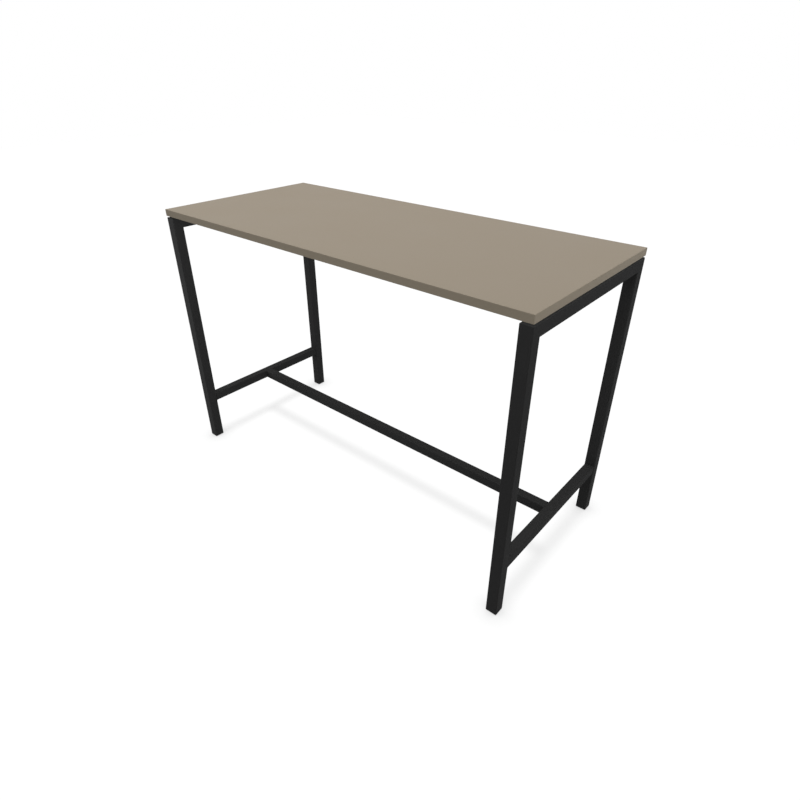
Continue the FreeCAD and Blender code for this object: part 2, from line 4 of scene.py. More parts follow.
import bmesh
import bpy
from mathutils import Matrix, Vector

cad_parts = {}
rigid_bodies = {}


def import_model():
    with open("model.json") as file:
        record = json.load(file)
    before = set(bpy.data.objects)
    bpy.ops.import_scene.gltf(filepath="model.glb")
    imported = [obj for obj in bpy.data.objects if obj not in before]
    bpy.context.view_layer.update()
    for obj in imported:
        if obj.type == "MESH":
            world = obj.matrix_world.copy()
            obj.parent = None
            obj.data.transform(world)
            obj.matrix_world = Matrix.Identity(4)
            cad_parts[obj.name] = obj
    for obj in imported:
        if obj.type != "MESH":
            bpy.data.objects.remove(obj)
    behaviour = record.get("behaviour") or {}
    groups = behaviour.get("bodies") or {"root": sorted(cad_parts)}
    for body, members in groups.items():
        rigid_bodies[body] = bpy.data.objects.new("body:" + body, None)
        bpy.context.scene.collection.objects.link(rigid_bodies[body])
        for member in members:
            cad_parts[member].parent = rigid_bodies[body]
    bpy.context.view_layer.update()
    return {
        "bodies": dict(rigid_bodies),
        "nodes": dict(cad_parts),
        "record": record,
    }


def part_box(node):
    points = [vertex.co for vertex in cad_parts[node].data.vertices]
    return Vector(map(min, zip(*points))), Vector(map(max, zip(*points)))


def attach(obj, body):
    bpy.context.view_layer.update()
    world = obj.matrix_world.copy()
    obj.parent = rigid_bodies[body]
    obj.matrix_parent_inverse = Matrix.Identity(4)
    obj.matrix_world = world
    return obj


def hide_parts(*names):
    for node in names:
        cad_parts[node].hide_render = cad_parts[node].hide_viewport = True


# Standing meeting table: a matt laminate top on a black powder-coated steel frame.
# Metres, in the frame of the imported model. +X runs along the table and +Z up.

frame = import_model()
cadNodes = frame["nodes"]
slotOf = {part["node"]: part["material_slot"] for part in frame["record"]["subparts"]}
mm = 0.001
rightward, rearward, upward = Vector((1, 0, 0)), Vector((0, 1, 0)), Vector((0, 0, 1))
endSides = (("left", -1), ("right", 1))  # each end with its side of X
rowSides = (("front", -1), ("rear", 1))  # each row with its side of Y
print("frame loaded:", len(cadNodes), "nodes")


# camera

cameraSettings = {
    "lens": 25.613,
    "sensorWidth": 36.0,
    "place": (1.35481, -1.47488, 1.56048),
    "azimuth": 40.565,   # degrees to the right of straight ahead
    "lookDown": 31.288,  # degrees below the horizon
}


def makeCamera(settings):
    data = bpy.data.cameras.new("viewCamera")
    data.lens = settings["lens"]
    data.sensor_width = settings["sensorWidth"]
    camera = bpy.data.objects.new("viewCamera", data)
    bpy.context.scene.collection.objects.link(camera)
    around = math.radians(settings["azimuth"])
    down = math.radians(settings["lookDown"])
    gaze = Vector((-math.sin(around) * math.cos(down), math.cos(around) * math.cos(down),
                   -math.sin(down)))
    camera.location = settings["place"]
    camera.rotation_mode = "QUATERNION"
    camera.rotation_quaternion = gaze.to_track_quat("-Z", "Y")
    bpy.context.scene.camera = camera


makeCamera(cameraSettings)
print("camera placed")


# nodes that every shader uses

noiseSpan = (0.3, 0.7)  # where nearly all values of a noise lie


def addMath(tree, operation, first, second=None):
    # Each value is a number or a socket.
    node = tree.nodes.new("ShaderNodeMath")
    node.operation = operation
    for socket, value in zip(node.inputs, (first, second)):
        if value is None:
            continue
        if isinstance(value, (int, float)):
            socket.default_value = value
        else:
            tree.links.new(value, socket)
    return node.outputs[0]


def addRange(tree, value, fromSpan, toSpan):
    # Carries a value from one span of numbers to another, and no further.
    node = tree.nodes.new("ShaderNodeMapRange")
    tree.links.new(value, node.inputs["Value"])
    limits = zip(("From Min", "From Max", "To Min", "To Max"), (*fromSpan, *toSpan))
    for label, limit in limits:
        node.inputs[label].default_value = limit
    return node.outputs["Result"]


def mixShaders(tree, share, first, second):
    node = tree.nodes.new("ShaderNodeMixShader")
    tree.links.new(share, node.inputs["Fac"])
    tree.links.new(first, node.inputs[1])
    tree.links.new(second, node.inputs[2])
    return node.outputs[0]


# studio: sky, floor and lamps

studio = {
    "background": 1.0,     # what the camera and reflections see
    "skyLight": 0.352,     # what the sky sends to the table
    "floorSize": 24.0,
    "footClear": 0.12,     # how far the floor stays level round a foot
    "floorGlow": 0.79,     # the floor's own white, under its shadows
    "floorBounce": 0.18,   # what the floor sends up to the table
    "floorShade": 0.04,    # its plain diffuse part, which shows the shadows
    "contactReach": 0.07,
    "contactShade": 0.30,  # share of its white that the floor loses right beside a foot, as painted contact shadow
    "contactSamples": 12,
}
softboxes = {
    # lights the board alone, evenly
    "boardLamp": {"place": (-0.5, -0.4, 6.0), "aim": (0.0, 0.0, 1.05), "size": 6.0, "power": 252},
    # lights all but the board
    "overheadLamp": {"place": (-0.1, -0.4, 3.4), "aim": (0.0, 0.0, 1.05), "size": 2.6,
                     "power": 57},
    "rightLamp": {"place": (13.0, -2.1, 2.4), "aim": (0.0, 0.0, 0.6), "size": 5.8, "power": 370},
    # the next three light the frame alone
    "rearLamp": {"place": (-2.2, 4.6, 0.45), "aim": (0.0, 0.0, 0.5), "size": 0.9, "power": 45},
    "frontLamp": {"place": (-1.6, -1.5, 0.8), "aim": (-0.78, -0.35, 0.6), "size": 0.8,
                  "power": 16},
    "topLamp": {"place": (0.75, -0.3, 2.7), "aim": (0.4, -0.1, 0.0), "size": 1.6, "power": 37},
}
floorSun = {"from": (0.0, 0.0, 1.0), "strength": 17.0, "spread": 20}  # for the floor alone


def seenRays(tree):
    # 1 for what is looked at, straight or in metal and glass; 0 for light on the table
    path = tree.nodes.new("ShaderNodeLightPath")
    seen = addMath(tree, "MAXIMUM", path.outputs["Is Camera Ray"], path.outputs["Is Glossy Ray"])
    return addMath(tree, "MAXIMUM", seen, path.outputs["Is Transmission Ray"])


def makeSky():
    world = bpy.data.worlds.new("studioSky")
    world.use_nodes = True
    tree = world.node_tree
    tree.nodes.clear()
    halves = []
    for strength in (studio["skyLight"], studio["background"]):
        half = tree.nodes.new("ShaderNodeBackground")
        half.inputs["Color"].default_value = (1, 1, 1, 1)
        half.inputs["Strength"].default_value = strength
        halves.append(half.outputs[0])
    output = tree.nodes.new("ShaderNodeOutputWorld")
    tree.links.new(mixShaders(tree, seenRays(tree), *halves), output.inputs["Surface"])
    bpy.context.scene.world = world


def makeFloorMaterial():
    material = bpy.data.materials.new("studioFloor")
    material.use_nodes = True
    tree = material.node_tree
    tree.nodes.clear()
    # painted contact shadow: the floor's glow is dimmed where ambient occlusion finds pieces of
    # the table close by
    paintedShadeOcclusion = tree.nodes.new("ShaderNodeAmbientOcclusion")
    paintedShadeOcclusion.inputs["Distance"].default_value = studio["contactReach"]
    paintedShadeOcclusion.samples = studio["contactSamples"]
    white = studio["floorGlow"]
    paintedShadeBesideFoot = white * (1 - studio["contactShade"])
    glow = tree.nodes.new("ShaderNodeEmission")
    tree.links.new(addRange(tree, paintedShadeOcclusion.outputs["AO"], (0.0, 1.0), (paintedShadeBesideFoot, white)),
                   glow.inputs["Strength"])
    bounce = tree.nodes.new("ShaderNodeEmission")
    bounce.inputs["Strength"].default_value = studio["floorBounce"]
    shade = tree.nodes.new("ShaderNodeBsdfDiffuse")
    grey = studio["floorShade"]
    shade.inputs["Color"].default_value = (grey, grey, grey, 1)
    above = tree.nodes.new("ShaderNodeAddShader")
    tree.links.new(mixShaders(tree, seenRays(tree), bounce.outputs[0], glow.outputs[0]),
                   above.inputs[0])
    tree.links.new(shade.outputs[0], above.inputs[1])
    # clear from below, so that the underside of the table can be looked at
    clear = tree.nodes.new("ShaderNodeBsdfTransparent")
    fromBelow = tree.nodes.new("ShaderNodeNewGeometry").outputs["Backfacing"]
    output = tree.nodes.new("ShaderNodeOutputMaterial")
    tree.links.new(mixShaders(tree, fromBelow, above.outputs[0], clear.outputs[0]),
                   output.inputs["Surface"])
    return material


def floorLines(footPlace):
    # Where the floor's grid is cut along one axis: on both sides of each foot, and at its edges.
    edge, clear = studio["floorSize"] / 2, studio["footClear"]
    outward = [footPlace - clear, footPlace + clear, edge]
    return [-line for line in reversed(outward)] + outward


def makeFloor():
    soleLow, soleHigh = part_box("right_rear_foot_sole")
    footPlace = (soleLow + soleHigh) / 2
    linesX, linesY = floorLines(footPlace.x), floorLines(footPlace.y)
    form = bmesh.new()
    rows = [[form.verts.new((x, y, 0)) for x in linesX] for y in linesY]
    for lower, upper in zip(rows, rows[1:]):
        for index in range(len(linesX) - 1):
            form.faces.new((lower[index], lower[index + 1], upper[index + 1], upper[index]))
    mesh = bpy.data.meshes.new("studioFloor")
    form.to_mesh(mesh)
    form.free()
    mesh.materials.append(makeFloorMaterial())
    floor = bpy.data.objects.new("studioFloor", mesh)
    bpy.context.scene.collection.objects.link(floor)
    return floor


def keepUnderFeet(floor):
    # The table levels itself on an uneven floor: the floor follows each foot that is screwed out.
    for end, sideX in endSides:
        for row, sideY in rowSides:
            body = f"{end}_{row}_foot_base"
            group = floor.vertex_groups.new(name=body)
            for vertex in floor.data.vertices:
                if vertex.co.x * sideX > 0 and vertex.co.y * sideY > 0:
                    group.add([vertex.index], 1.0, "REPLACE")
            hook = floor.modifiers.new(body, "HOOK")
            hook.object = frame["bodies"][body]
            hook.vertex_group = body


def addLamp(name, data, facing):
    # The lamp shines along facing.
    lamp = bpy.data.objects.new(name, data)
    bpy.context.scene.collection.objects.link(lamp)
    lamp.rotation_mode = "QUATERNION"
    lamp.rotation_quaternion = facing.to_track_quat("-Z", "Y")
    return lamp


def makeSoftbox(name, settings):
    data = bpy.data.lights.new(name, "AREA")
    data.shape = "SQUARE"
    data.size = settings["size"]
    data.energy = settings["power"]
    lamp = addLamp(name, data, Vector(settings["aim"]) - Vector(settings["place"]))
    lamp.location = settings["place"]
    return lamp


def makeSun(name, settings):
    data = bpy.data.lights.new(name, "SUN")
    data.energy = settings["strength"]
    data.angle = math.radians(settings["spread"])
    return addLamp(name, data, -Vector(settings["from"]))


def groupOf(name, objects):
    group = bpy.data.collections.new(name)
    for item in objects:
        group.objects.link(item)
    return group


makeSky()
floorObject = makeFloor()
keepUnderFeet(floorObject)
lamps = {name: makeSoftbox(name, settings) for name, settings in softboxes.items()}
frameGroup = groupOf("frameNodes", [node for name, node in cadNodes.items()
                                    if slotOf[name] == "black_steel"])
board = cadNodes["tabletop_board"]
lamps["boardLamp"].light_linking.receiver_collection = groupOf("boardNode", [board])
allButBoard = groupOf("allButBoard", [board])
allButBoard.collection_objects[0].light_linking.link_state = "EXCLUDE"
lamps["overheadLamp"].light_linking.receiver_collection = allButBoard
for name in ("rearLamp", "frontLamp", "topLamp"):
    lamps[name].light_linking.receiver_collection = frameGroup
for name in ("rightLamp", "topLamp"):  # nothing but the frame shades these two
    lamps[name].light_linking.blocker_collection = frameGroup
floorLight = makeSun("floorSun", floorSun)
floorLight.light_linking.receiver_collection = groupOf("studioFloor", [floorObject])
lowEndings = ("_leg", "_lower_bar", "_foot_sole", "_foot_head", "_leg_plug", "footrest_rail")
floorLight.light_linking.blocker_collection = groupOf(
    "lowNodes", [node for name, node in cadNodes.items() if name.endswith(lowEndings)])
bpy.context.scene.view_settings.view_transform = "Standard"
print("studio lit")


# shader node groups that several finishes use

def newGroup(name, inputs, outputs):
    group = bpy.data.node_groups.new(name, "ShaderNodeTree")
    for label, start in inputs:
        socket = group.interface.new_socket(label, in_out="INPUT", socket_type="NodeSocketFloat")
        socket.default_value = start
    for label in outputs:
        group.interface.new_socket(label, in_out="OUTPUT", socket_type="NodeSocketFloat")
    return group, group.nodes.new("NodeGroupInput"), group.nodes.new("NodeGroupOutput")


def placeInSizes(tree, size):
    # The surface's own place, counted in grains of the given size.
    coordinate = tree.nodes.new("ShaderNodeTexCoord")
    scale = tree.nodes.new("ShaderNodeVectorMath")
    scale.operation = "SCALE"
    tree.links.new(coordinate.outputs["Object"], scale.inputs[0])
    tree.links.new(addMath(tree, "DIVIDE", 1.0, size), scale.inputs["Scale"])
    return scale.outputs[0]


def addNoise(tree, place, detail, scale=1.0, roughness=0.5):
    noise = tree.nodes.new("ShaderNodeTexNoise")
    noise.inputs["Scale"].default_value = scale
    noise.inputs["Detail"].default_value = detail
    noise.inputs["Roughness"].default_value = roughness
    tree.links.new(place, noise.inputs["Vector"])
    return noise.outputs["Fac"]


grainShape = {
    "smoothness": 0.6,          # of the pimples
    "pimpleReach": 0.9,         # from a pimple's middle to its foot, in grain sizes
    "gritScale": 2.6,           # how much finer the grit is than the pimples
    "gritDetail": 2.0,
    "fleckSpan": (0.58, 0.74),  # values of the grit at which a fleck starts and is whole
}


def makeCoatGrain(shape):
    # Fine texture of a powder coat: rounded pimples with a finer grit between them.
    group, given, result = newGroup(
        "coatGrain", (("Grain Size", 0.0006), ("Grit Share", 0.35)), ("Height", "Fleck"))
    place = placeInSizes(group, given.outputs["Grain Size"])
    pimples = group.nodes.new("ShaderNodeTexVoronoi")
    pimples.feature = "SMOOTH_F1"
    pimples.inputs["Scale"].default_value = 1.0
    pimples.inputs["Smoothness"].default_value = shape["smoothness"]
    group.links.new(place, pimples.inputs["Vector"])
    dome = addRange(group, pimples.outputs["Distance"], (0.0, shape["pimpleReach"]), (1.0, 0.0))
    grit = addNoise(group, place, shape["gritDetail"], scale=shape["gritScale"])
    share = given.outputs["Grit Share"]
    rest = addMath(group, "MULTIPLY", dome, addMath(group, "SUBTRACT", 1.0, share))
    height = addMath(group, "ADD", rest, addMath(group, "MULTIPLY", grit, share))
    group.links.new(height, result.inputs["Height"])
    group.links.new(addRange(group, grit, shape["fleckSpan"], (0.0, 1.0)), result.inputs["Fleck"])
    return group


mottleDetail = 3.0


def makeSoftMottle(detail):
    # Slow, faint change of tone over a surface, around 1.
    group, given, result = newGroup(
        "softMottle", (("Patch Size", 0.12), ("Contrast", 0.04)), ("Tone", "Patch"))
    noise = addNoise(group, placeInSizes(group, given.outputs["Patch Size"]), detail)
    spread = addRange(group, noise, noiseSpan, (-1.0, 1.0))
    change = addMath(group, "MULTIPLY", spread, given.outputs["Contrast"])
    group.links.new(addMath(group, "ADD", 1.0, change), result.inputs["Tone"])
    group.links.new(noise, result.inputs["Patch"])
    return group


edgeShape = {
    "samples": 6,
    "bendSpan": (0.72, 0.99),  # likeness of the rounded normal to the plain one
}


def makeEdgeMask(shape):
    # 1 along convex and concave edges within the reach, 0 on flat faces.
    group, given, result = newGroup("edgeMask", (("Reach", 0.001),), ("Mask",))
    bevel = group.nodes.new("ShaderNodeBevel")
    bevel.samples = shape["samples"]
    group.links.new(given.outputs["Reach"], bevel.inputs["Radius"])
    geometry = group.nodes.new("ShaderNodeNewGeometry")
    likeness = group.nodes.new("ShaderNodeVectorMath")
    likeness.operation = "DOT_PRODUCT"
    group.links.new(bevel.outputs[0], likeness.inputs[0])
    group.links.new(geometry.outputs["Normal"], likeness.inputs[1])
    group.links.new(addRange(group, likeness.outputs["Value"], shape["bendSpan"], (1.0, 0.0)),
                    result.inputs["Mask"])
    return group


dustShape = {
    "slopeSpan": (0.4, 0.95),  # slopes at which dust starts and is whole, where 1 is level
    "detail": 6.0,
    "roughness": 0.65,
    "patchSpan": (0.35, 0.75),
    "thinnest": 0.2,           # share of the dust between patches
}


def makeDustVeil(shape):
    # Thin dust in patches, on faces that look up.
    group, given, result = newGroup(
        "dustVeil", (("Patch Size", 0.05), ("Amount", 0.1)), ("Mask",))
    geometry = group.nodes.new("ShaderNodeNewGeometry")
    split = group.nodes.new("ShaderNodeSeparateXYZ")
    group.links.new(geometry.outputs["Normal"], split.inputs[0])
    level = addRange(group, split.outputs["Z"], shape["slopeSpan"], (0.0, 1.0))
    noise = addNoise(group, placeInSizes(group, given.outputs["Patch Size"]), shape["detail"],
                     roughness=shape["roughness"])
    patches = addRange(group, noise, shape["patchSpan"], (shape["thinnest"], 1.0))
    mask = addMath(group, "MULTIPLY", level, patches)
    group.links.new(addMath(group, "MULTIPLY", mask, given.outputs["Amount"]),
                    result.inputs["Mask"])
    return group


coatGrain = makeCoatGrain(grainShape)
softMottle = makeSoftMottle(mottleDetail)
edgeMask = makeEdgeMask(edgeShape)
dustVeil = makeDustVeil(dustShape)
print("shader groups made")


# finishes

def newFinish(name):
    material = bpy.data.materials.new(name)
    material.use_nodes = True
    tree = material.node_tree
    return material, tree, tree.nodes["Principled BSDF"]


def addGroup(tree, group, values):
    node = tree.nodes.new("ShaderNodeGroup")
    node.node_tree = group
    for label, value in values.items():
        node.inputs[label].default_value = value
    return node


def addGrain(tree, look):
    return addGroup(tree, coatGrain, {"Grain Size": look["grainSize"],
                                      "Grit Share": look["gritShare"]})


def addMottle(tree, look):
    return addGroup(tree, softMottle, {"Patch Size": look["patchSize"],
                                       "Contrast": look["patchContrast"]})


def mixColours(tree, mask, under, over):
    # Colours are tuples or sockets.
    node = tree.nodes.new("ShaderNodeMix")
    node.data_type = "RGBA"
    tree.links.new(mask, node.inputs[0])
    for socket, colour in zip((node.inputs[6], node.inputs[7]), (under, over)):
        if isinstance(colour, tuple):
            socket.default_value = (*colour, 1)
        else:
            tree.links.new(colour, socket)
    return node.outputs[2]


def toneColour(tree, tone, colour):
    # The colour, made lighter or darker by a tone around 1.
    node = tree.nodes.new("ShaderNodeHueSaturation")
    node.inputs["Color"].default_value = (*colour, 1)
    tree.links.new(tone, node.inputs["Value"])
    return node.outputs["Color"]


def addFlecks(tree, grain, look, under):
    mask = addMath(tree, "MULTIPLY", grain.outputs["Fleck"], look["fleckShare"])
    return mixColours(tree, mask, under, look["fleckColour"])


def addDust(tree, look, under):
    dust = addGroup(tree, dustVeil, {"Patch Size": look["dustPatch"],
                                     "Amount": look["dustAmount"]})
    return mixColours(tree, dust.outputs["Mask"], under, look["dustColour"])


def setRoughness(tree, shader, look, noise):
    # Between the look's two values, as the noise goes.
    tree.links.new(addRange(tree, noise, noiseSpan, look["roughness"]),
                   shader.inputs["Roughness"])


def bumpFrom(tree, shader, height, depth, strength):
    bump = tree.nodes.new("ShaderNodeBump")
    bump.inputs["Distance"].default_value = depth
    bump.inputs["Strength"].default_value = strength
    tree.links.new(height, bump.inputs["Height"])
    tree.links.new(bump.outputs[0], shader.inputs["Normal"])


def bumpGrain(tree, shader, grain, look):
    bumpFrom(tree, shader, grain.outputs["Height"], look["grainDepth"], look["grainStrength"])


laminateLook = {
    "colour": (0.2832, 0.2396, 0.1843),
    "roughness": (0.64, 0.72),
    "specular": 0.2,
    "patchSize": 0.22,
    "patchContrast": 0.012,
    "grainSize": 0.00045,
    "gritShare": 0.6,
    "grainDepth": 0.00003,
    "grainStrength": 0.35,
    "fleckColour": (0.245, 0.208, 0.16),
    "fleckShare": 0.16,
}


def makeLaminate(look):
    # Melamine facing: one even warm grey with a fine pearl texture.
    material, tree, shader = newFinish("laminateFacing")
    mottle, grain = addMottle(tree, look), addGrain(tree, look)
    base = toneColour(tree, mottle.outputs["Tone"], look["colour"])
    tree.links.new(addFlecks(tree, grain, look, base), shader.inputs["Base Color"])
    setRoughness(tree, shader, look, mottle.outputs["Patch"])
    shader.inputs["Specular IOR Level"].default_value = look["specular"]
    bumpGrain(tree, shader, grain, look)
    return material


bandLook = {
    "colour": (0.279, 0.238, 0.181),
    "roughness": (0.60, 0.70),
    "specular": 0.2,
    "seamColour": (0.12, 0.095, 0.07),
    "seamWidth": 0.00018,
    "lineSize": 0.0007,
    "lineChanges": 6.0,  # along a metre of band
    "lineDetail": 2.0,
    "lineContrast": 0.02,
    "lineDepth": 0.00002,
    "lineStrength": 0.3,
}


def makeEdgeBand(name, look, axis, seamPlace):
    # Extruded edge band with faint lines along it, and the glue line where it meets the board.
    material, tree, shader = newFinish(name)
    coordinate = tree.nodes.new("ShaderNodeTexCoord")
    stretch = tree.nodes.new("ShaderNodeVectorMath")
    stretch.operation = "MULTIPLY"
    across, along = 1 / look["lineSize"], look["lineChanges"]
    stretch.inputs[1].default_value = ((across, along, across) if axis == "X"
                                       else (along, across, across))
    tree.links.new(coordinate.outputs["Object"], stretch.inputs[0])
    lines = addNoise(tree, stretch.outputs[0], look["lineDetail"])
    contrast = look["lineContrast"]
    tone = addRange(tree, lines, noiseSpan, (1 - contrast, 1 + contrast))
    split = tree.nodes.new("ShaderNodeSeparateXYZ")
    tree.links.new(coordinate.outputs["Object"], split.inputs[0])
    outward = addMath(tree, "ABSOLUTE", split.outputs[axis])
    past = addMath(tree, "SUBTRACT", outward, seamPlace)
    seam = addRange(tree, past, (0.0, look["seamWidth"]), (1.0, 0.0))
    base = toneColour(tree, tone, look["colour"])
    tree.links.new(mixColours(tree, seam, base, look["seamColour"]), shader.inputs["Base Color"])
    setRoughness(tree, shader, look, lines)
    shader.inputs["Specular IOR Level"].default_value = look["specular"]
    bumpFrom(tree, shader, lines, look["lineDepth"], look["lineStrength"])
    return material


coatLook = {
    "colour": (0.0212, 0.0212, 0.0213),
    "fleckColour": (0.062, 0.062, 0.062),
    "fleckShare": 0.6,
    "patchSize": 0.09,
    "patchContrast": 0.06,
    "edgeColour": (0.036, 0.036, 0.036),
    "edgeReach": 0.0011,
    "edgeShare": 0.5,
    "edgeWear": 0.12,  # how much smoother an edge is
    "dustColour": (0.10, 0.097, 0.09),
    "dustPatch": 0.06,
    "dustAmount": 0.035,
    "roughness": (0.84, 0.92),
    "specular": 0.06,
    "grainSize": 0.0008,
    "gritShare": 0.35,
    "grainDepth": 0.0002,
    "grainStrength": 0.8,
}


def makeCoat(look):
    # Fine-textured matt black powder coat on the steel.
    material, tree, shader = newFinish("blackPowderCoat")
    mottle, grain = addMottle(tree, look), addGrain(tree, look)
    base = toneColour(tree, mottle.outputs["Tone"], look["colour"])
    flecked = addFlecks(tree, grain, look, base)
    edge = addGroup(tree, edgeMask, {"Reach": look["edgeReach"]})
    edgeShare = addMath(tree, "MULTIPLY", edge.outputs["Mask"], look["edgeShare"])
    edged = mixColours(tree, edgeShare, flecked, look["edgeColour"])
    tree.links.new(addDust(tree, look, edged), shader.inputs["Base Color"])
    rough = addRange(tree, mottle.outputs["Patch"], noiseSpan, look["roughness"])
    worn = addMath(tree, "MULTIPLY", edgeShare, look["edgeWear"])
    tree.links.new(addMath(tree, "SUBTRACT", rough, worn), shader.inputs["Roughness"])
    shader.inputs["Specular IOR Level"].default_value = look["specular"]
    bumpGrain(tree, shader, grain, look)
    return material


plasticLook = {
    "colour": (0.011, 0.011, 0.0115),
    "roughness": (0.40, 0.52),
    "specular": 0.25,
    "patchSize": 0.015,
    "patchContrast": 0.08,
    "grainSize": 0.00022,
    "gritShare": 0.7,
    "grainDepth": 0.00002,
    "grainStrength": 0.4,
    "dustColour": (0.10, 0.097, 0.09),
    "dustPatch": 0.02,
    "dustAmount": 0.05,
}


def makePlastic(look):
    # Moulded black plastic with a fine eroded texture.
    material, tree, shader = newFinish("blackPlastic")
    mottle, grain = addMottle(tree, look), addGrain(tree, look)
    base = toneColour(tree, mottle.outputs["Tone"], look["colour"])
    tree.links.new(addDust(tree, look, base), shader.inputs["Base Color"])
    setRoughness(tree, shader, look, mottle.outputs["Patch"])
    shader.inputs["Specular IOR Level"].default_value = look["specular"]
    bumpGrain(tree, shader, grain, look)
    return material


zincLook = {
    "colour": (0.60, 0.61, 0.63),
    "tint": (0.52, 0.55, 0.60),
    "roughness": (0.24, 0.42),
    "patchSize": 0.004,
    "patchContrast": 0.1,
    "grainSize": 0.0004,
    "gritShare": 0.8,
    "grainDepth": 0.00001,
    "grainStrength": 0.3,
}


def makeZinc(look):
    # Bright zinc plating with a faint bluish tint in places.
    material, tree, shader = newFinish("zincPlating")
    mottle, grain = addMottle(tree, look), addGrain(tree, look)
    tree.links.new(mixColours(tree, mottle.outputs["Patch"], look["colour"], look["tint"]),
                   shader.inputs["Base Color"])
    setRoughness(tree, shader, look, mottle.outputs["Patch"])
    shader.inputs["Metallic"].default_value = 1.0
    bumpGrain(tree, shader, grain, look)
    return material


rubberLook = {
    "colour": (0.016, 0.016, 0.016),
    "roughness": (0.75, 0.9),
    "specular": 0.25,
    "patchSize": 0.006,
    "patchContrast": 0.15,
    "grainSize": 0.0003,
    "gritShare": 0.9,
    "grainDepth": 0.00003,
    "grainStrength": 0.4,
}


def makeRubber(look):
    # Dull dark rubber of the soles.
    material, tree, shader = newFinish("soleRubber")
    mottle, grain = addMottle(tree, look), addGrain(tree, look)
    tree.links.new(toneColour(tree, mottle.outputs["Tone"], look["colour"]),
                   shader.inputs["Base Color"])
    setRoughness(tree, shader, look, mottle.outputs["Patch"])
    shader.inputs["Specular IOR Level"].default_value = look["specular"]
    bumpGrain(tree, shader, grain, look)
    return material


finishes = {
    "laminate": makeLaminate(laminateLook),
    "black_steel": makeCoat(coatLook),
    "black_plastic": makePlastic(plasticLook),
    "zinc_steel": makeZinc(zincLook),
    "sole_rubber": makeRubber(rubberLook),
}
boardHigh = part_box("tabletop_board")[1]
longBand = makeEdgeBand("longEdgeBand", bandLook, "Y", boardHigh.y)
shortBand = makeEdgeBand("shortEdgeBand", bandLook, "X", boardHigh.x)
bandFinish = {"front_edge_band": longBand, "rear_edge_band": longBand,
              "left_edge_band": shortBand, "right_edge_band": shortBand}
for name, node in cadNodes.items():
    for materialSlot in node.material_slots:
        materialSlot.link = "OBJECT"
        materialSlot.material = bandFinish.get(name) or finishes[slotOf[name]]
print("finishes made:", len(bpy.data.materials))


# small pieces in mesh code

mergeReach = 0.002 * mm  # points nearer than this are one point
barLow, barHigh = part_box("right_upper_bar")
railLow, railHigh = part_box("rear_top_rail")
screwsLow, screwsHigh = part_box("top_screws")
columnX = (barLow.x + barHigh.x) / 2  # the outermost top screws
rowY = (railLow.y + railHigh.y) / 2


def camelName(node):
    first, *others = node.split("_")
    return first + "".join(word.title() for word in others)


def innerX(box, side):
    # Where a box at one end of the table faces the middle.
    low, high = box
    return low.x if side > 0 else high.x


def outerX(box, side):
    # Where it faces away from the middle.
    low, high = box
    return high.x if side > 0 else low.x


def addPiece(name, form, finishSlot, body, sharpAngle):
    # Turns a bmesh into a piece that rides on a body.
    bmesh.ops.remove_doubles(form, verts=form.verts, dist=mergeReach)
    bmesh.ops.recalc_face_normals(form, faces=form.faces)
    mesh = bpy.data.meshes.new(name)
    form.to_mesh(mesh)
    form.free()
    mesh.shade_smooth()
    mesh.set_sharp_from_angle(angle=math.radians(sharpAngle))
    mesh.materials.append(finishes[finishSlot])
    piece = bpy.data.objects.new(name, mesh)
    bpy.context.scene.collection.objects.link(piece)
    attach(piece, body)
    if finishSlot == "black_steel":
        frameGroup.objects.link(piece)  # so that it takes the frame's own lamps
    return piece


def skinRings(form, rings, closedRound=True):
    # Faces between neighbouring rings, which are lists of points of one length.
    made = [[form.verts.new(point) for point in ring] for ring in rings]
    for lower, upper in zip(made, made[1:]):
        count = len(lower)
        for index in range(count if closedRound else count - 1):
            after = (index + 1) % count
            form.faces.new((lower[index], lower[after], upper[after], upper[index]))
    return made


screwShape = {
    "segments": 48,
    "shankRadius": 3 * mm,
    "headRadius": screwsHigh.x - columnX,
    "headHeight": barLow.z - screwsLow.z,
    "headEdge": 0.5 * mm,    # the straight edge under the dome
    "domeSteps": 7,
    "socketRimShare": 0.56,  # the flat round the socket, as a share of the head's radius
    "socketWidth": 4 * mm,
    "socketDepth": 2 * mm,
    "drillShare": 0.94,      # the drilled hole under the socket, as a share of its width
    "drillDepth": 0.7 * mm,
    "coneShares": (1.0, 0.66, 0.33),
    "tipChamfer": 0.8 * mm,
    "sharpAngle": 40,
}


def hexReach(angle, width):
    # From a hexagon's middle to its outline, in one direction.
    sixth = math.pi / 3
    return width / 2 / math.cos((angle + sixth / 2) % sixth - sixth / 2)


def screwProfile(shape, length):
    # Radius and height of each ring, from the tip of the shank to the rim of the socket.
    shank, head, edge = shape["shankRadius"], shape["headRadius"], shape["headEdge"]
    profile = [(shank - shape["tipChamfer"], length),
               (shank, length - shape["tipChamfer"]),
               (shank, 0.0),
               (head - edge / 2, 0.0),
               (head, -edge / 2),
               (head, -edge)]
    rim = head * shape["socketRimShare"]
    for step in range(1, shape["domeSteps"] + 1):
        turn = math.pi / 2 * step / shape["domeSteps"]
        radius = rim + (head - rim) * math.cos(turn)
        profile.append((radius, -(edge + (shape["headHeight"] - edge) * math.sin(turn))))
    return profile


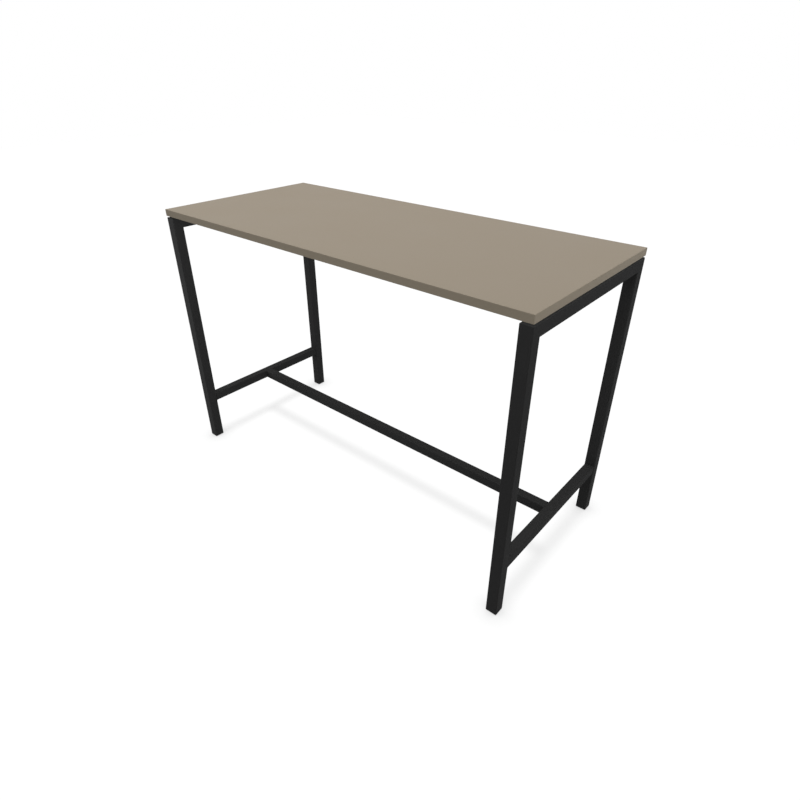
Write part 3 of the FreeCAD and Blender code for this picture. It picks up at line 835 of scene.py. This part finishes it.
def addScrew(form, shape, origin, along, across, length):
    # A button-head screw. origin is under the head, along points to the tip.
    side = along.cross(across)
    angles = [2 * math.pi * index / shape["segments"] for index in range(shape["segments"])]

    def ring(radii, height):
        return [origin + along * height
                + across * (radius * math.cos(angle)) + side * (radius * math.sin(angle))
                for radius, angle in zip(radii, angles)]

    rings = [ring([radius] * len(angles), height)
             for radius, height in screwProfile(shape, length)]
    hexagon = [hexReach(angle, shape["socketWidth"]) for angle in angles]
    socketFloor = shape["socketDepth"] - shape["headHeight"]
    rings.append(ring(hexagon, -shape["headHeight"]))
    rings.append(ring(hexagon, socketFloor))
    drill = shape["socketWidth"] / 2 * shape["drillShare"]
    for share in shape["coneShares"]:
        cone = socketFloor + shape["drillDepth"] * (1 - share)
        rings.append(ring([drill * share] * len(angles), cone))
    made = skinRings(form, rings)
    tip = form.verts.new(origin + along * length)
    hole = form.verts.new(origin + along * (socketFloor + shape["drillDepth"]))
    for end, centre in ((made[0], tip), (made[-1], hole)):
        for index, corner in enumerate(end):
            form.faces.new((corner, end[(index + 1) % len(end)], centre))


def addScrewPiece(node, spots, along, across, length):
    # Screws at the given spots, in place of a CAD node that has them plain.
    form = bmesh.new()
    for spot in spots:
        addScrew(form, screwShape, spot, along, across, length)
    piece = addPiece(camelName(node), form, "zinc_steel", "table", screwShape["sharpAngle"])
    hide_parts(node)


def makeTopScrews():
    # Up through the upper bars and the rails, in four columns.
    spots = [Vector((columnX * column / 3, rowY * sideY, barLow.z))
             for column in (-3, -1, 1, 3) for sideY in (-1, 1)]
    addScrewPiece("top_screws", spots, upward, rightward, screwsHigh.z - barLow.z)


def makePlateBolts(end, side):
    # Outward through the end plates, on both sides of each rail.
    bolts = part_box(f"{end}_plate_bolts")
    boltsLow, boltsHigh = bolts
    farY = boltsHigh.y - screwShape["headRadius"]
    nearY = 2 * rowY - farY
    seatX = innerX(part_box(f"rear_rail_{end}_plate"), side)
    tipX = outerX(bolts, side)
    boltZ = (boltsLow.z + boltsHigh.z) / 2
    spots = [Vector((seatX, y, boltZ)) for y in (-farY, -nearY, nearY, farY)]
    addScrewPiece(f"{end}_plate_bolts", spots, rightward * side, upward, abs(tipX - seatX))


def makeLockScrews(end):
    # Up through the footrest rail into its spigot.
    lockLow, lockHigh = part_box(f"{end}_lock_screws")
    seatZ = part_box("footrest_rail")[0].z
    inset = screwShape["headRadius"]
    spots = [Vector((x, 0, seatZ)) for x in (lockLow.x + inset, lockHigh.x - inset)]
    addScrewPiece(f"{end}_lock_screws", spots, upward, rightward, lockHigh.z - seatZ)


makeTopScrews()
for end, side in endSides:
    makePlateBolts(end, side)
    makeLockScrews(end)
print("screws made")


studThread = {
    "pitch": 1.25 * mm,
    "segments": 32,
    "depth": 0.68 * mm,
    # share of one pitch, and whether the point is on the crest
    "turnPoints": ((0.0, False), (0.22, False), (0.55, True), (0.68, True)),
    "tipChamfer": 1.0 * mm,
    "sharpAngle": 50,
}


def makeThreadedStud(node, body, thread):
    # A right-hand thread: each row of points climbs by one pitch in a turn.
    low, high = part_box(node)
    centre = (low + high) / 2
    crest = (high.x - low.x) / 2
    pitch = thread["pitch"]
    turns = math.ceil((high.z - low.z) / pitch) + 1
    form = bmesh.new()
    rows = []
    for turn in range(-1, turns):
        for share, onCrest in thread["turnPoints"]:
            row = []
            for index in range(thread["segments"] + 1):
                angle = 2 * math.pi * index / thread["segments"]
                height = pitch * (turn + share + index / thread["segments"])
                z = min(max(low.z + height, low.z), high.z)
                radius = crest if onCrest else crest - thread["depth"]
                radius = min(radius, crest - max(0.0, thread["tipChamfer"] - (high.z - z)))
                row.append(Vector((centre.x + radius * math.cos(angle),
                                   centre.y + radius * math.sin(angle), z)))
            rows.append(row)
    made = skinRings(form, rows, closedRound=False)
    for end in (made[0], made[-1]):
        middle = form.verts.new(Vector((centre.x, centre.y, end[0].co.z)))
        for first, second in zip(end, end[1:]):
            form.faces.new((first, second, middle))
    bmesh.ops.dissolve_degenerate(form, dist=mergeReach, edges=form.edges)
    piece = addPiece(camelName(node), form, "zinc_steel", body, thread["sharpAngle"])
    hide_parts(node)


for end in ("left", "right"):
    for row in ("front", "rear"):
        makeThreadedStud(f"{end}_{row}_foot_stud", f"{end}_{row}_foot_screw", studThread)
print("threaded studs made")


weldBead = {
    "size": 2.2 * mm,
    "ripple": 1.8 * mm,      # from one ripple to the next
    "rippleHeight": 0.18,    # share of the bead's size
    "step": 0.3 * mm,
    "arcSteps": 6,
    "flatness": 0.22,        # how far it lies inside a quarter of a circle, as a share
    "root": 0.2 * mm,        # how far it reaches into the metal
    "taper": 4 * mm,
    "endShare": 0.25,        # what the taper leaves of the size
    "barRound": 2 * mm,      # the outer round of a lower bar's edges
    "barRoundSteps": 8,
    "mitreInset": 4 * mm,    # from the sides of the leg to the bead's ends
    "plateInset": 5 * mm,    # from the top and bottom of the rail to the bead's ends
    "sharpAngle": 60,
}


def addBead(form, bead, path, sides, outward):
    # A fillet in the corner between two faces. sides and outward are the faces' normals.
    lengths = [0.0]
    for before, after in zip(path, path[1:]):
        lengths.append(lengths[-1] + (after - before).length)
    rings = []
    for point, side, run in zip(path, sides, lengths):
        toEnd = min(run, lengths[-1] - run)
        taper = min(1.0, bead["endShare"] + (1 - bead["endShare"]) * toEnd / bead["taper"])
        wave = abs(math.sin(math.pi * run / bead["ripple"]))
        size = bead["size"] * taper * (1 + bead["rippleHeight"] * (wave - 0.5))
        ring = []
        for step in range(bead["arcSteps"] + 1):
            turn = math.pi / 2 * step / bead["arcSteps"]
            bulge = 1 - bead["flatness"] * math.sin(2 * turn)
            ring.append(point + (side * math.cos(turn) + outward * math.sin(turn)) * size * bulge)
        ring.append(point - (side + outward) * bead["root"])
        rings.append(ring)
    made = skinRings(form, rings)
    form.faces.new(made[0])
    form.faces.new(list(reversed(made[-1])))


def straightPath(start, end, step):
    count = max(2, round((end - start).length / step))
    return [start.lerp(end, index / count) for index in range(count + 1)]


def addStraightBead(form, bead, start, end, side, outward):
    path = straightPath(start, end, bead["step"])
    addBead(form, bead, path, [side] * len(path), outward)


def lowerBarSeam(bead, end, side, y):
    # Points and normals under the lower bar, round its edge and up its inner side.
    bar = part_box(f"{end}_lower_bar")
    low, high = bar
    nearX, farX = innerX(bar, side), outerX(bar, side)
    edge = bead["barRound"]
    centre = Vector((nearX + side * edge, y, low.z + edge))
    under = straightPath(Vector((farX - side * edge, y, low.z)),
                         Vector((centre.x, y, low.z)), bead["step"])
    beside = straightPath(Vector((nearX, y, centre.z)),
                          Vector((nearX, y, high.z - edge)), bead["step"])
    turns = [math.pi / 2 * step / bead["barRoundSteps"]
             for step in range(1, bead["barRoundSteps"])]
    rounding = [-upward * math.cos(turn) - rightward * side * math.sin(turn) for turn in turns]
    points = under + [centre + normal * edge for normal in rounding] + beside
    normals = [-upward] * len(under) + rounding + [rightward * -side] * len(beside)
    return points, normals


def makeFrameWelds(bead):
    form = bmesh.new()
    railWidth = railHigh.y - railLow.y
    for end, side in endSides:
        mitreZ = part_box(f"{end}_upper_bar")[0].z
        legLow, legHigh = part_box(f"{end}_rear_leg")
        for row, sideY in rowSides:
            y = sideY * legLow.y
            inward = rearward * -sideY
            points, normals = lowerBarSeam(bead, end, side, y)
            addBead(form, bead, points, normals, inward)
            # in the corner under the mitre
            inset = bead["mitreInset"]
            addStraightBead(form, bead, Vector((legLow.x + inset, y, mitreZ)),
                            Vector((legHigh.x - inset, y, mitreZ)), -upward, inward)
            # down both sides of the rail's end, on its plate
            plateX = innerX(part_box(f"{row}_rail_{end}_plate"), side)
            inset = bead["plateInset"]
            for face in (-1, 1):
                faceY = sideY * rowY + face * railWidth / 2
                addStraightBead(form, bead, Vector((plateX, faceY, railLow.z + inset)),
                                Vector((plateX, faceY, railHigh.z - inset)),
                                rearward * face, rightward * -side)
    addPiece("frameWelds", form, "black_steel", "table", bead["sharpAngle"])


makeFrameWelds(weldBead)
print("weld beads made")


print("pieces ready")
